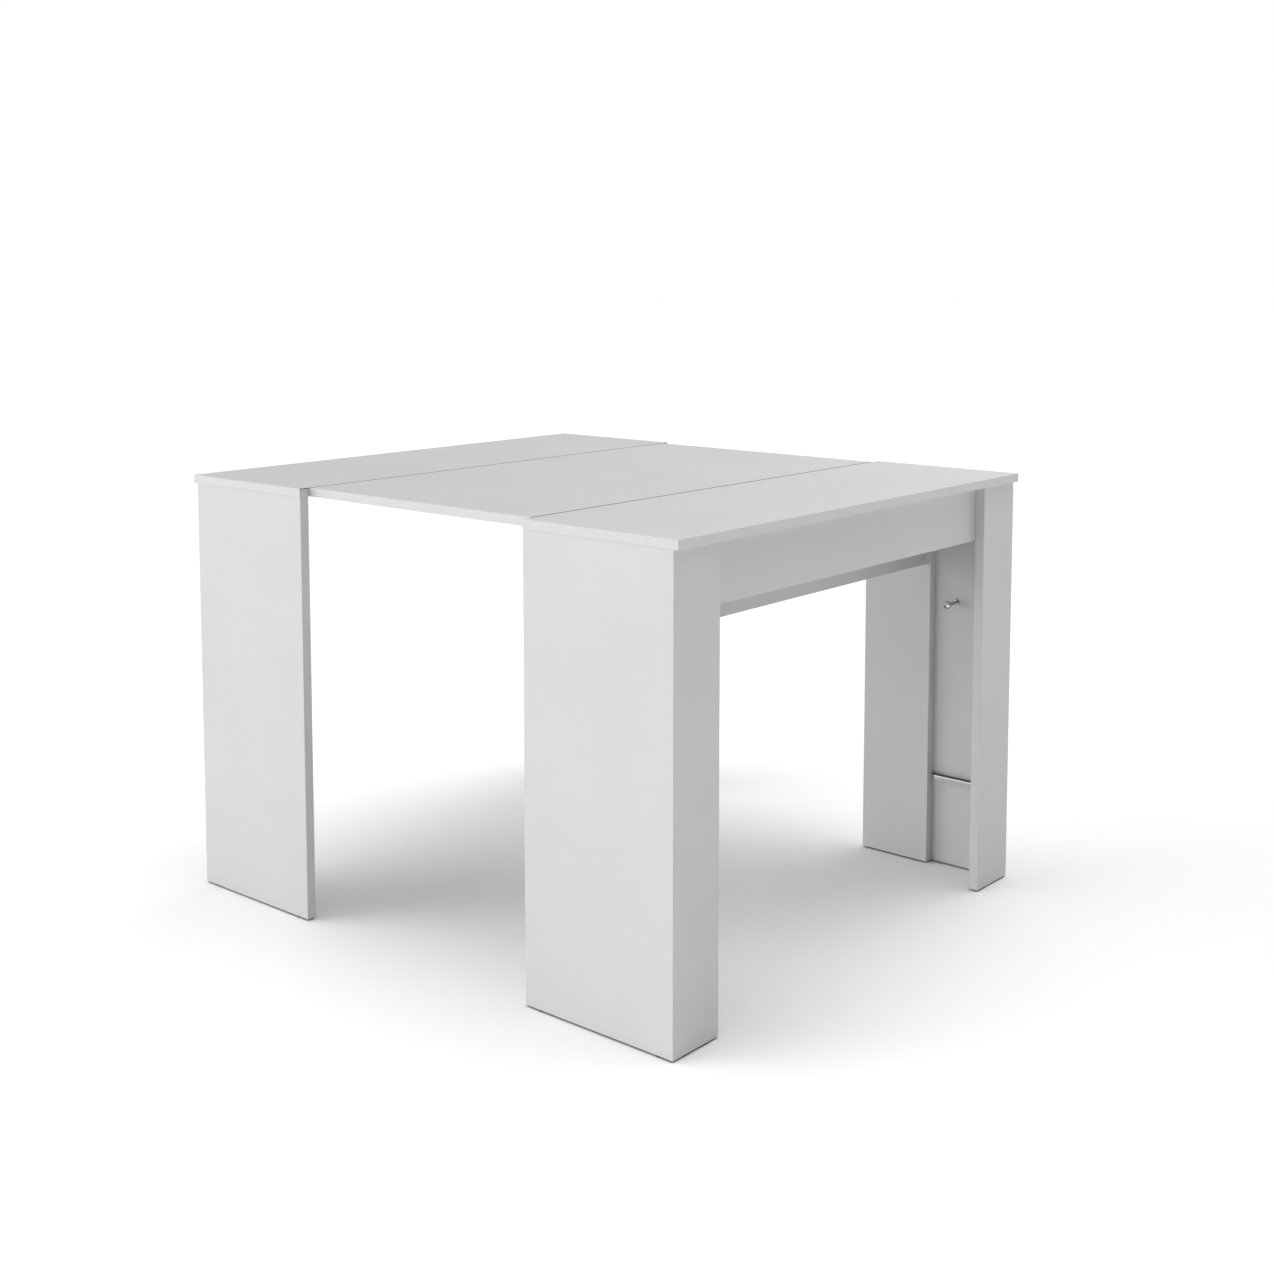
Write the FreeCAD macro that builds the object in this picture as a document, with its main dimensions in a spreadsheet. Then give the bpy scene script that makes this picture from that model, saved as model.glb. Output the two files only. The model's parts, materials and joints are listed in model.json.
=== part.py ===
"""Extending console table in white melamine board, shown open by one leaf.

The fixed storage end stands at +X, the sliding end at -X, and the loose leaf lies between them on two
telescopic runners. X is the direction of extension, Y runs along the tops, Z is up. The origin is on
the floor, under the middle of the table. Millimetres.
"""

import FreeCAD, Part
import os

import Sketcher
from FreeCAD import Placement, Rotation, Vector

UP = Vector(0, 0, 1)
DOWN = Vector(0, 0, -1)
RIGHT = Vector(1, 0, 0)
LEFT = Vector(-1, 0, 0)
INWARD = Vector(0, 1, 0)  # from the front towards the back
OUTWARD = Vector(0, -1, 0)

# Alias, millimetres, meaning.
DIMENSIONS = (
    ("table_height", 770, "floor to table surface"),
    ("table_width", 1000, "length of the end tops along Y"),
    ("end_depth", 306, "depth of each end top along X"),
    ("leaf_pitch", 534, "opening that one leaf fills"),
    ("leaf_gap", 2, "gap on each side of the leaf at a seam"),
    ("leaf_recess", 20, "leaf is shorter than the end tops at each end"),
    ("top_board", 15, "thickness of the tops and the leaf"),
    ("leg_board", 18, "thickness of legs, apron and rails"),
    ("edge_ease", 0.5, "chamfer on the board edges"),
    ("leg_inset", 1, "legs stand this far inside the ends of the tops"),
    ("top_overhang", 9, "tops pass the legs by this much at each end of the table"),
    ("return_width", 108, "leg return across the end, outside to edge"),
    ("inner_panel_width", 145, "inner leg panel along X"),
    ("apron_height", 100, "apron under the storage end"),
    ("stretcher_height", 126, "middle stretcher"),
    ("stretcher_top_drop", 45, "from the underside of the top to the stretcher"),
    ("stretcher_setback", 14, "stretcher face behind the inner panel's edge"),
    ("cross_rail_height", 45, "rail under the sliding top"),
    ("cross_rail_inset", 3, "cross rail behind the outer edge of the leg panels"),
    ("glide_height", 3, "plastic glide under a board"),
    ("glide_radius", 7.5, "plastic glide"),
    ("glide_nail_radius", 1.1, "nail of a glide"),
    ("glide_nail_length", 12, "nail of a glide"),
    ("dowel_radius", 4, "wooden dowel"),
    ("dowel_length", 30, "wooden dowel"),
    ("dowel_in_face", 9, "part of a dowel that sits in the face of a board"),
    ("cam_radius", 7.5, "cam of a knock-down fitting"),
    ("cam_depth", 12.5, "cam of a knock-down fitting"),
    ("cam_distance", 34, "cam centre to the end of its board"),
    ("cam_bolt_thread_radius", 3.5, "thread of a cam bolt in the panel"),
    ("cam_bolt_thread", 10, "length of that thread"),
    ("cam_bolt_neck_radius", 2.5, "neck of a cam bolt"),
    ("bracket_leg", 28, "leg of an angle bracket"),
    ("bracket_width", 20, "width of an angle bracket"),
    ("bracket_sheet", 2, "steel sheet of an angle bracket"),
    ("screw_radius", 1.75, "chipboard screw"),
    ("screw_head_radius", 3.5, "head of a chipboard screw"),
    ("screw_head_height", 2, "head of a chipboard screw"),
    ("screw_bite", 10, "length of screw thread in a board"),
    ("bore_clearance", 0.05, "radial clearance round pins and screws"),
    ("runner_width", 20, "runner beam along Y"),
    ("runner_height", 34, "runner beam along Z"),
    ("runner_length", 532, "runner beam with its cap"),
    ("runner_pitch", 21, "from one runner beam to the next"),
    ("runner_outer", 255, "end of the top to the first runner beam"),
    ("runner_end_gap", 2, "first runner beam to the apron"),
    ("runner_relief", 0.6, "sliding beams stay below the tops"),
    ("runner_wall", 2, "wall of the runner extrusion"),
    ("runner_web", 4, "wall between chamber and groove"),
    ("groove_depth", 4, "wide part of the runner groove along Y"),
    ("groove_height", 12, "wide part of the runner groove along Z"),
    ("mouth_depth", 3, "mouth of the runner groove along Y"),
    ("mouth_height", 6, "mouth of the runner groove along Z"),
    ("runner_play", 0.5, "play of a tongue in its groove"),
    ("tongue_length", 160, "tongue of a sliding beam along X"),
    ("cap_plate", 2, "plastic cap on a runner beam"),
    ("cap_lug", 8, "stop lug of that cap in the groove"),
    ("cap_lug_play", 0.1, "play of the stop lug in the groove"),
    ("access_radius", 4, "hole that lets a screw head into a runner beam"),
    ("block_length", 30, "locating block under the leaf along X"),
    ("block_width", 12, "locating block along Y"),
    ("block_height", 20, "locating block along Z"),
    ("block_play", 1.5, "locating block to runner beam"),
    ("block_offset", 165, "locating blocks from the middle of the leaf along X"),
    ("rest_rail_height", 177, "ledge that a stored leaf stands on"),
    ("rest_rail_depth", 12, "ledge from the leg panel along Y"),
    ("rest_rail_sheet", 1.5, "steel sheet of the rest rail"),
    ("rest_rail_lip", 9, "front lip of the rest rail"),
    ("rest_rail_flange", 18, "screwed flange of the rest rail"),
    ("peg_height", 516, "peg between the stored leaves"),
    ("peg_from_seam", 192, "peg along X"),
    ("peg_length", 37, "peg beyond the leg panel"),
    ("peg_head_radius", 8, "peg head"),
    ("peg_head_height", 8, "peg head with its cone"),
    ("peg_neck_radius", 3.5, "peg neck"),
    ("peg_foot_radius", 6, "peg foot on the leg panel"),
    ("peg_foot_height", 3, "peg foot on the leg panel"),
    ("peg_thread_radius", 2.5, "peg thread in the leg panel"),
    ("peg_thread", 11, "peg thread in the leg panel"),
    ("peg_rim", 1, "chamfer round the face of the peg head"),
    ("dowel_inset", 60, "upright dowel from the upright edge of a wide leg panel"),
    ("narrow_dowel_inset", 35, "upright dowel from the upright edge of a narrow leg panel"),
    ("crosswise_dowel_inset", 25, "dowel in the end of a crosswise board from that board's edge"),
    ("bracket_inset", 90, "angle bracket from the upright edge of a leg panel"),
    ("bracket_from_middle", 330, "angle bracket on a crosswise board from the middle of the table"),
    ("glide_inset", 30, "glide from the upright edge of a board"),
    ("rail_screw_inset", 27, "screw of the rest rail from the end of the rail"),
    ("runner_screw_inset", 32, "last screw of a runner beam from the beam's end"),
    ("runner_screw_pitch", 96, "from one screw of a runner beam to the next"),
)

doc = FreeCAD.newDocument("extending_table")
sheet = doc.addObject("Spreadsheet::Sheet", "Dims")
for row, (alias, value, meaning) in enumerate(DIMENSIONS, start=1):
    sheet.set(f"A{row}", meaning)
    sheet.set(f"B{row}", str(value))
    sheet.setAlias(f"B{row}", alias)
doc.recompute()

nodes = []  # the labelled sub-parts, in the order in which they are made
spanning = []  # boards that reach from the front half to the back half

# Planes of the table, as expressions.
SEAM = "(Dims.leaf_pitch / 2)"
END = f"({SEAM} + Dims.end_depth)"
UNDER = "(Dims.table_height - Dims.top_board)"
HALF = "(Dims.table_width / 2)"
LEG_FACE = f"(-{HALF} + Dims.leg_inset)"
LEG_INSIDE = f"({LEG_FACE} + Dims.leg_board)"
INNER_INSIDE = f"({LEG_INSIDE} + Dims.leg_board)"
OUTER = f"({END} - Dims.top_overhang)"
APRON_FACE = f"({OUTER} - Dims.leg_board)"
APRON_BACK = f"({APRON_FACE} - Dims.leg_board)"
STRETCHER_FACE = f"({SEAM} + Dims.inner_panel_width - Dims.stretcher_setback)"
STRETCHER_TOP = f"({UNDER} - Dims.stretcher_top_drop)"
STRETCHER_FOOT = f"({STRETCHER_TOP} - Dims.stretcher_height)"
RAIL_FACE = f"(-{OUTER} + Dims.cross_rail_inset + Dims.leg_board)"
RUNNER_FOOT = f"({UNDER} - Dims.runner_height)"
RUNNER_START = f"({APRON_BACK} - Dims.runner_end_gap - Dims.runner_length)"


def number(expression):
    """The value of an expression of the sheet."""
    return float(sheet.evalExpression(expression))


def named(obj, label):
    """Makes obj the sub-part called label."""
    obj.Label = label
    nodes.append(obj)
    return obj


def put(obj, place, direction=UP):
    """Binds where obj stands, and turns its own Z axis to direction."""
    obj.Placement = Placement(Vector(), Rotation(UP, direction))
    for axis, expression in zip("xyz", place):
        obj.setExpression(f"Placement.Base.{axis}", expression)


def size(obj, **properties):
    for name, expression in properties.items():
        obj.setExpression(name, expression)


def outline(body, role, corners, offset="0"):
    """A closed sketch of straight lines on one of the body's own planes, each corner bound in x and y."""
    sketch = body.newObject("Sketcher::SketchObject", body.Name + "_outline")
    plane = next(f for f in body.Origin.OriginFeatures if f.Role == role)
    sketch.AttachmentSupport = [(plane, "")]
    sketch.MapMode = "FlatFace"
    sketch.setExpression("AttachmentOffset.Base.z", offset)
    points = [Vector(number(x), number(y), 0) for x, y in corners]
    last = len(points) - 1
    for i, point in enumerate(points):
        sketch.addGeometry(Part.LineSegment(point, points[0 if i == last else i + 1]))
    for i in range(len(points)):
        following = 0 if i == last else i + 1
        sketch.addConstraint(Sketcher.Constraint("Coincident", i, 2, following, 1))
    for i, corner in enumerate(corners):
        for kind, axis, expression in zip(("DistanceX", "DistanceY"), (-2, -1), corner):
            if expression == "0":
                sketch.addConstraint(Sketcher.Constraint("PointOnObject", i, 1, axis))
                continue
            rule = Sketcher.Constraint(kind, -1, 1, i, 1, number(expression))
            sketch.setExpression(f"Constraints[{sketch.addConstraint(rule)}]", expression)
    return sketch


def pad(body, sketch, length):
    feature = body.newObject("PartDesign::Pad", body.Name + "_pad")
    feature.Profile = sketch
    feature.setExpression("Length", length)
    sketch.Visibility = False
    doc.recompute()
    return feature


def rectangle(x_size, y_size):
    return (("0", "0"), (x_size, "0"), (x_size, y_size), ("0", y_size))


def extruded(label, place, role, corners, length):
    """A body padded from one outline, standing at place."""
    body = doc.addObject("PartDesign::Body", label)
    pad(body, outline(body, role, corners), length)
    put(body, place)
    return named(body, label)


def board(label, place, x_size, y_size, z_size):
    """A rectangular board with eased edges."""
    body = extruded(label, place, "XY_Plane", rectangle(x_size, y_size), z_size)
    block = body.Tip
    eased = body.newObject("PartDesign::Chamfer", label + "_ease")
    eased.Base = (block, [f"Edge{i}" for i in range(1, len(block.Shape.Edges) + 1)])
    eased.setExpression("Size", "Dims.edge_ease")
    doc.recompute()
    return body


def base_of(body):
    """The expressions that place a body."""
    bound = dict(body.ExpressionEngine)
    return [bound.get(f"Placement.Base.{axis}") or bound[f".Placement.Base.{axis}"] for axis in "xyz"]


def drill(body, place, direction, radius, depth):
    """One blind hole in a body, at a place given in the table's frame."""
    hole = body.newObject("PartDesign::SubtractiveCylinder", body.Name + "_bore")
    inside = [f"{p} - ({base})" for p, base in zip(place, base_of(body))]
    size(hole, Radius=radius, Height=depth)
    put(hole, inside, direction)


def bore(body, place, direction, radius, depth):
    """A blind hole, and its twin behind the middle plane in a board that spans the table."""
    drill(body, place, direction, radius, depth)
    if body in spanning:
        x, y, z = place
        drill(body, (x, f"-({y})", z), Vector(direction.x, -direction.y, direction.z), radius, depth)


def cylinder(place, direction, radius, height):
    solid = doc.addObject("Part::Cylinder", "round")
    size(solid, Radius=radius, Height=height)
    put(solid, place, direction)
    return solid


def box(place, x_size, y_size, z_size):
    solid = doc.addObject("Part::Box", "block")
    size(solid, Length=x_size, Width=y_size, Height=z_size)
    put(solid, place)
    return solid


def fused(*solids):
    joined = doc.addObject("Part::MultiFuse", "fused")
    joined.Shapes = list(solids)
    return joined


def mirrored(source, label=None):
    """The same piece on the other side of the table's middle plane."""
    twin = doc.addObject("Part::Mirroring", "twin")
    twin.Source = source
    twin.Normal = INWARD
    return named(twin, label) if label else twin


def group(label, solids):
    """Identical loose pieces as one sub-part."""
    together = doc.addObject("Part::Compound", label)
    together.Links = solids
    return named(together, label)


def both_sides(solids):
    return solids + [mirrored(solid) for solid in solids]


def moved(place, direction, distance):
    """A place shifted along one of the axes by an expression."""
    return [f"{p} + ({distance}) * {part:g}" if part else p for p, part in zip(place, direction)]


def dowel(place, direction, face_board, end_board):
    """A dowel whose end sits in the face of one board and whose rest sits in the end of another.

    place is where the two boards meet, and direction points into the face board.
    """
    back = Vector(direction) * -1
    radius = "Dims.dowel_radius + Dims.bore_clearance"
    bore(face_board, place, direction, radius, "Dims.dowel_in_face")
    bore(end_board, place, back, radius, "Dims.dowel_length - Dims.dowel_in_face")
    start = moved(place, direction, "Dims.dowel_in_face")
    return cylinder(start, back, "Dims.dowel_radius", "Dims.dowel_length")


def screw(place, direction, bitten, through):
    """A screw that passes a sheet and bites into a board. place is the board's surface."""
    bore(bitten, place, direction, "Dims.screw_radius + Dims.bore_clearance", "Dims.screw_bite")
    under_head = moved(place, direction, f"-({through})")
    shank = cylinder(under_head, direction, "Dims.screw_radius", f"Dims.screw_bite + {through}")
    head = cylinder(
        under_head, Vector(direction) * -1, "Dims.screw_head_radius", "Dims.screw_head_height"
    )
    return fused(shank, head)


def glide(x, y, panel):
    """A nailed glide that carries a board."""
    foot = (x, y, "0")
    sole = (x, y, "Dims.glide_height")
    disc = cylinder(foot, UP, "Dims.glide_radius", "Dims.glide_height")
    nail = cylinder(foot, UP, "Dims.glide_nail_radius", "Dims.glide_height + Dims.glide_nail_length")
    radius = "Dims.glide_nail_radius + Dims.bore_clearance"
    bore(panel, sole, UP, radius, "Dims.glide_nail_length")
    return fused(disc, nail)


def bracket(corner, turn):
    """An angle bracket under a top. corner is where board and top meet, turn is about Z in degrees."""
    leg, sheet_steel, width = "Dims.bracket_leg", "Dims.bracket_sheet", "Dims.bracket_width"
    hole_radius = "Dims.screw_radius + 2 * Dims.bore_clearance"
    across = f"-{width} / 2"
    plate = box((across, "0", f"-{leg}"), width, leg, leg)
    room = box(
        (across, sheet_steel, f"-{leg}"), width, f"{leg} - {sheet_steel}", f"{leg} - {sheet_steel}"
    )
    middle = f"({leg} + {sheet_steel}) / 2"
    top_hole = cylinder(("0", middle, f"-{sheet_steel}"), UP, hole_radius, sheet_steel)
    side_hole = cylinder(("0", sheet_steel, f"-{middle}"), OUTWARD, hole_radius, sheet_steel)
    cut = doc.addObject("Part::Cut", "bracket")
    cut.Base = plate
    cut.Tool = fused(room, top_hole, side_hole)
    put(cut, corner)
    cut.Placement.Rotation = Rotation(UP, turn)
    return cut


def bracket_screws(corner, into_board, top, panel):
    """The two screws of an angle bracket: one up into the top and one sideways into the board."""
    middle = "(Dims.bracket_leg + Dims.bracket_sheet) / 2"
    away = Vector(into_board) * -1
    under_top = moved(corner, away, middle)
    on_board = moved(corner, DOWN, middle)
    return [
        screw(under_top, UP, top, "Dims.bracket_sheet"),
        screw(on_board, into_board, panel, "Dims.bracket_sheet"),
    ]


def cam_fitting(place, cam_side, face_board, end_board):
    """A cam bolt in the face of the front board and its cam in the crosswise board.

    place is where the bolt crosses the joint; cam_side points from the cam's open face into the board.
    """
    bolt_reach = "Dims.cam_distance - Dims.cam_radius"
    thread_radius = "Dims.cam_bolt_thread_radius"
    clearance = "Dims.bore_clearance"
    bore(face_board, place, OUTWARD, f"{thread_radius} + {clearance}", "Dims.cam_bolt_thread")
    bore(end_board, place, INWARD, "Dims.cam_bolt_neck_radius + 2 * Dims.bore_clearance", bolt_reach)
    thread = cylinder(place, OUTWARD, thread_radius, "Dims.cam_bolt_thread")
    neck = cylinder(place, INWARD, "Dims.cam_bolt_neck_radius", f"{bolt_reach} - {clearance}")
    middle = moved(place, INWARD, "Dims.cam_distance")
    open_face = moved(middle, cam_side, "-Dims.leg_board / 2")
    bore(end_board, open_face, cam_side, f"Dims.cam_radius + {clearance}", "Dims.cam_depth")
    cam = cylinder(open_face, cam_side, f"Dims.cam_radius - {clearance}", "Dims.cam_depth")
    return fused(thread, neck), cam


# ---- Boards of the storage end -------------------------------------------------------------------

LEG_HEIGHT = f"({UNDER} - Dims.glide_height)"
BETWEEN_LEGS = "(Dims.table_width - 2 * (Dims.leg_inset + Dims.leg_board))"
BETWEEN_INNER = "(Dims.table_width - 2 * (Dims.leg_inset + 2 * Dims.leg_board))"
OUTER_WIDTH = "(Dims.end_depth - Dims.top_overhang)"
MITRE = "Dims.leg_board"

storage_top = board(
    "storage_end_top", (SEAM, f"-{HALF}", UNDER), "Dims.end_depth", "Dims.table_width", "Dims.top_board"
)
outer_panel = extruded(
    "front_outer_leg_panel",
    (SEAM, LEG_FACE, "Dims.glide_height"),
    "XY_Plane",
    (("0", "0"), (OUTER_WIDTH, "0"), (f"{OUTER_WIDTH} - {MITRE}", MITRE), ("0", MITRE)),
    LEG_HEIGHT,
)
leg_return = extruded(
    "front_leg_return",
    (APRON_FACE, LEG_FACE, "Dims.glide_height"),
    "XY_Plane",
    ((MITRE, "0"), (MITRE, "Dims.return_width"), ("0", "Dims.return_width"), ("0", MITRE)),
    LEG_HEIGHT,
)
inner_panel = board(
    "front_inner_leg_panel",
    (SEAM, LEG_INSIDE, "Dims.glide_height"),
    "Dims.inner_panel_width",
    "Dims.leg_board",
    LEG_HEIGHT,
)
apron = board(
    "end_apron",
    (APRON_BACK, LEG_INSIDE, f"{UNDER} - Dims.apron_height"),
    "Dims.leg_board",
    BETWEEN_LEGS,
    "Dims.apron_height",
)
stretcher = board(
    "middle_stretcher",
    (f"{STRETCHER_FACE} - Dims.leg_board", INNER_INSIDE, STRETCHER_FOOT),
    "Dims.leg_board",
    BETWEEN_INNER,
    "Dims.stretcher_height",
)

# ---- Boards of the sliding end and the leaf ------------------------------------------------------

sliding_top = board(
    "sliding_end_top",
    (f"-{END}", f"-{HALF}", UNDER),
    "Dims.end_depth",
    "Dims.table_width",
    "Dims.top_board",
)
sliding_panel = board(
    "front_sliding_leg_panel",
    (f"-{OUTER}", LEG_FACE, "Dims.glide_height"),
    OUTER_WIDTH,
    "Dims.leg_board",
    LEG_HEIGHT,
)
cross_rail = board(
    "sliding_end_cross_rail",
    (f"{RAIL_FACE} - Dims.leg_board", LEG_INSIDE, f"{UNDER} - Dims.cross_rail_height"),
    "Dims.leg_board",
    BETWEEN_LEGS,
    "Dims.cross_rail_height",
)
leaf = board(
    "extension_leaf",
    (f"-{SEAM} + Dims.leaf_gap", f"-{HALF} + Dims.leaf_recess", UNDER),
    "Dims.leaf_pitch - 2 * Dims.leaf_gap",
    "Dims.table_width - 2 * Dims.leaf_recess",
    "Dims.top_board",
)

spanning += [storage_top, apron, stretcher, sliding_top, cross_rail, leaf]

# ---- Telescopic runners --------------------------------------------------------------------------

MOUTH_Y = "(Dims.runner_width - Dims.mouth_depth)"
CAVITY_Y = f"({MOUTH_Y} - Dims.groove_depth)"
MID_Z = "(Dims.runner_height / 2)"
GROOVE_LOW = f"({MID_Z} - Dims.groove_height / 2)"
GROOVE_HIGH = f"({MID_Z} + Dims.groove_height / 2)"
MOUTH_LOW = f"({MID_Z} - Dims.mouth_height / 2)"
MOUTH_HIGH = f"({MID_Z} + Dims.mouth_height / 2)"
GAP_Y = "(Dims.runner_pitch - Dims.runner_width)"
NECK_REACH = f"({GAP_Y} + Dims.mouth_depth + Dims.runner_play)"
TONGUE_REACH = f"({GAP_Y} + Dims.mouth_depth + Dims.groove_depth - Dims.runner_play)"
BEAM_LENGTH = "(Dims.runner_length - Dims.cap_plate)"


def runner_beam(label, order, start, relief, grooved, tongued):
    """One extruded beam. order counts beams inwards from the outermost, start is the beam's left end."""
    shift = TONGUE_REACH if tongued else "0"
    top = f"Dims.runner_height - {relief}"
    first_y = f"(-{HALF} + Dims.runner_outer + {order} * Dims.runner_pitch)"
    width = f"{shift} + Dims.runner_width"
    corners = [(shift, "0"), (width, "0")]
    if grooved:
        mouth, cavity = f"{shift} + {MOUTH_Y}", f"{shift} + {CAVITY_Y}"
        corners += [(width, MOUTH_LOW), (mouth, MOUTH_LOW), (mouth, GROOVE_LOW), (cavity, GROOVE_LOW)]
        corners += [(cavity, GROOVE_HIGH), (mouth, GROOVE_HIGH), (mouth, MOUTH_HIGH), (width, MOUTH_HIGH)]
    corners += [(width, top), (shift, top)]
    place = (start, f"{first_y} - {shift}", RUNNER_FOOT)
    body = extruded(label, place, "YZ_Plane", corners, BEAM_LENGTH)

    wall = "Dims.runner_wall"
    far_wall = f"{shift} + {CAVITY_Y} - Dims.runner_web" if grooved else f"{width} - {wall}"
    near, low, high = f"{shift} + {wall}", wall, f"{top} - {wall}"
    chamber = ((near, low), (far_wall, low), (far_wall, high), (near, high))
    hollow = body.newObject("PartDesign::Pocket", label + "_chamber")
    hollow.Profile = outline(body, "YZ_Plane", chamber)
    hollow.Type = "ThroughAll"
    hollow.Reversed = True
    if tongued:
        play = "Dims.runner_play"
        root = f"{shift} - {NECK_REACH}"
        neck_low, neck_high = f"{MOUTH_LOW} + {play}", f"{MOUTH_HIGH} - {play}"
        head_low, head_high = f"{GROOVE_LOW} + {play}", f"{GROOVE_HIGH} - {play}"
        tee = [(shift, neck_low), (shift, neck_high), (root, neck_high), (root, head_high)]
        tee += [("0", head_high), ("0", head_low), (root, head_low), (root, neck_low)]
        from_end = f"{BEAM_LENGTH} - Dims.tongue_length"
        pad(body, outline(body, "YZ_Plane", tee, from_end), "Dims.tongue_length")
    doc.recompute()
    return body


def beam_cap(order, start):
    """The plastic cap on a beam's left end, with a lug that stops the next beam's tongue."""
    first_y = f"(-{HALF} + Dims.runner_outer + {order} * Dims.runner_pitch)"
    height = "Dims.runner_height - Dims.runner_relief"
    plate = box(
        (f"{start} - Dims.cap_plate", first_y, RUNNER_FOOT), "Dims.cap_plate", "Dims.runner_width", height
    )
    play = "Dims.cap_lug_play"
    lug = box(
        (start, f"{first_y} + {CAVITY_Y} + {play}", f"{RUNNER_FOOT} + {GROOVE_LOW} + {play}"),
        "Dims.cap_lug",
        f"Dims.groove_depth - 2 * {play}",
        f"Dims.groove_height - 2 * {play}",
    )
    return fused(plate, lug)


def beam_screws(order, end, side, top, beam, chamber_middle):
    """Three screws that hang a beam under a top, each put in through an access hole from below.

    end is the end of the beam that the screws start from, and side is 1 if they follow towards +X.
    """
    y = f"-{HALF} + Dims.runner_outer + {order} * Dims.runner_pitch + {chamber_middle}"
    screws = []
    for i in range(3):
        x = f"{end} + {side} * (Dims.runner_screw_inset + {i} * Dims.runner_screw_pitch)"
        wall_foot = (x, y, f"{UNDER} - Dims.runner_wall")
        bore(beam, (x, y, RUNNER_FOOT), UP, "Dims.access_radius", "2 * Dims.runner_wall")
        bore(beam, wall_foot, UP, "Dims.screw_radius + 2 * Dims.bore_clearance", "2 * Dims.runner_wall")
        screws.append(screw((x, y, UNDER), UP, top, "Dims.runner_wall"))
    return screws


# The beams overlap fully when the table is closed, so at rest each is a third of the opening from the next.
STEP = "(Dims.leaf_pitch / 3)"
FIRST_START = f"({RUNNER_START} + Dims.cap_plate)"
starts = [FIRST_START] + [f"({FIRST_START} - {i} * {STEP})" for i in (1, 2, 3)]
fixed_beam = runner_beam("front_fixed_runner_beam", 0, starts[0], "0", True, False)
first_beam = runner_beam("front_first_sliding_beam", 1, starts[1], "Dims.runner_relief", True, True)
second_beam = runner_beam("front_second_sliding_beam", 2, starts[2], "Dims.runner_relief", True, True)
end_beam = runner_beam("front_end_runner_beam", 3, starts[3], "0", False, True)
group("fixed_beam_caps", both_sides([beam_cap(0, starts[0])]))
group("first_sliding_beam_caps", both_sides([beam_cap(1, starts[1])]))
group("second_sliding_beam_caps", both_sides([beam_cap(2, starts[2])]))

GROOVED_CHAMBER = f"(Dims.runner_wall + {CAVITY_Y} - Dims.runner_web) / 2"
PLAIN_CHAMBER = "Dims.runner_width / 2"
fixed_end = f"({starts[0]} + {BEAM_LENGTH})"
fixed_screws = beam_screws(0, fixed_end, -1, storage_top, fixed_beam, GROOVED_CHAMBER)
group("fixed_beam_screws", both_sides(fixed_screws))
end_screws = beam_screws(3, starts[3], 1, sliding_top, end_beam, PLAIN_CHAMBER)
group("end_beam_screws", both_sides(end_screws))

# ---- Locating blocks under the leaf --------------------------------------------------------------


def locating_block(x, y):
    """A block screwed under the leaf beside a runner beam."""
    length, width, height = "Dims.block_length", "Dims.block_width", "Dims.block_height"
    solid = box((f"{x} - {length} / 2", y, f"{UNDER} - {height}"), length, width, height)
    holes, screws = [], []
    for side in (-1, 1):
        at = (f"{x} + {side} * {length} / 4", f"{y} + {width} / 2")
        hole_foot = (*at, f"{UNDER} - {height}")
        holes.append(cylinder(hole_foot, UP, "Dims.screw_radius + 2 * Dims.bore_clearance", height))
        screws.append(screw((*at, UNDER), UP, leaf, height))
    cut = doc.addObject("Part::Cut", "block_drilled")
    cut.Base = solid
    cut.Tool = fused(*holes)
    return cut, screws


outside_y = f"(-{HALF} + Dims.runner_outer - Dims.block_play - Dims.block_width)"
inside_y = f"(-{HALF} + Dims.runner_outer + 3 * Dims.runner_pitch + Dims.runner_width + Dims.block_play)"
right_block, right_screws = locating_block("Dims.block_offset", outside_y)
left_block, left_screws = locating_block("-Dims.block_offset", inside_y)
group("leaf_locating_blocks", both_sides([right_block, left_block]))

# ---- Rest rail and peg for the stored leaves -----------------------------------------------------

steel = "Dims.rest_rail_sheet"
depth = "Dims.rest_rail_depth"
flange = "Dims.rest_rail_flange"
lip_foot = f"{flange} - Dims.rest_rail_lip"
rail_start = f"({SEAM} + Dims.inner_panel_width)"
rail_length = f"({APRON_FACE} - {rail_start})"
rest_rail = extruded(
    "front_leaf_rest_rail",
    (rail_start, LEG_INSIDE, f"Dims.rest_rail_height - {flange}"),
    "YZ_Plane",
    (
        ("0", "0"),
        (steel, "0"),
        (steel, f"{flange} - {steel}"),
        (f"{depth} - {steel}", f"{flange} - {steel}"),
        (f"{depth} - {steel}", lip_foot),
        (depth, lip_foot),
        (depth, flange),
        ("0", flange),
    ),
    rail_length,
)
# The free corner of the ledge is cut off at 45 degrees, with the end of the lip. The flange stays whole.
free_corner = (("0", steel), (f"{depth} - {steel}", depth), ("0", depth))
corner_outline = outline(rest_rail, "XY_Plane", free_corner, flange)
corner_cut = rest_rail.newObject("PartDesign::Pocket", "rest_rail_corner")
corner_cut.Profile = corner_outline
corner_cut.setExpression("Length", "Dims.rest_rail_lip")
corner_outline.Visibility = False
doc.recompute()
rail_screws = []
for from_start in ("Dims.rail_screw_inset", f"{rail_length} - Dims.rail_screw_inset"):
    along = f"{rail_start} + {from_start}"
    on_panel = (along, LEG_INSIDE, f"Dims.rest_rail_height - {flange} / 2 - {steel}")
    through_flange = moved(on_panel, INWARD, steel)
    bore(rest_rail, through_flange, OUTWARD, "Dims.screw_radius + 2 * Dims.bore_clearance", steel)
    rail_screws.append(screw(on_panel, OUTWARD, outer_panel, steel))
group("rest_rail_screws", both_sides(rail_screws))

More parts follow.
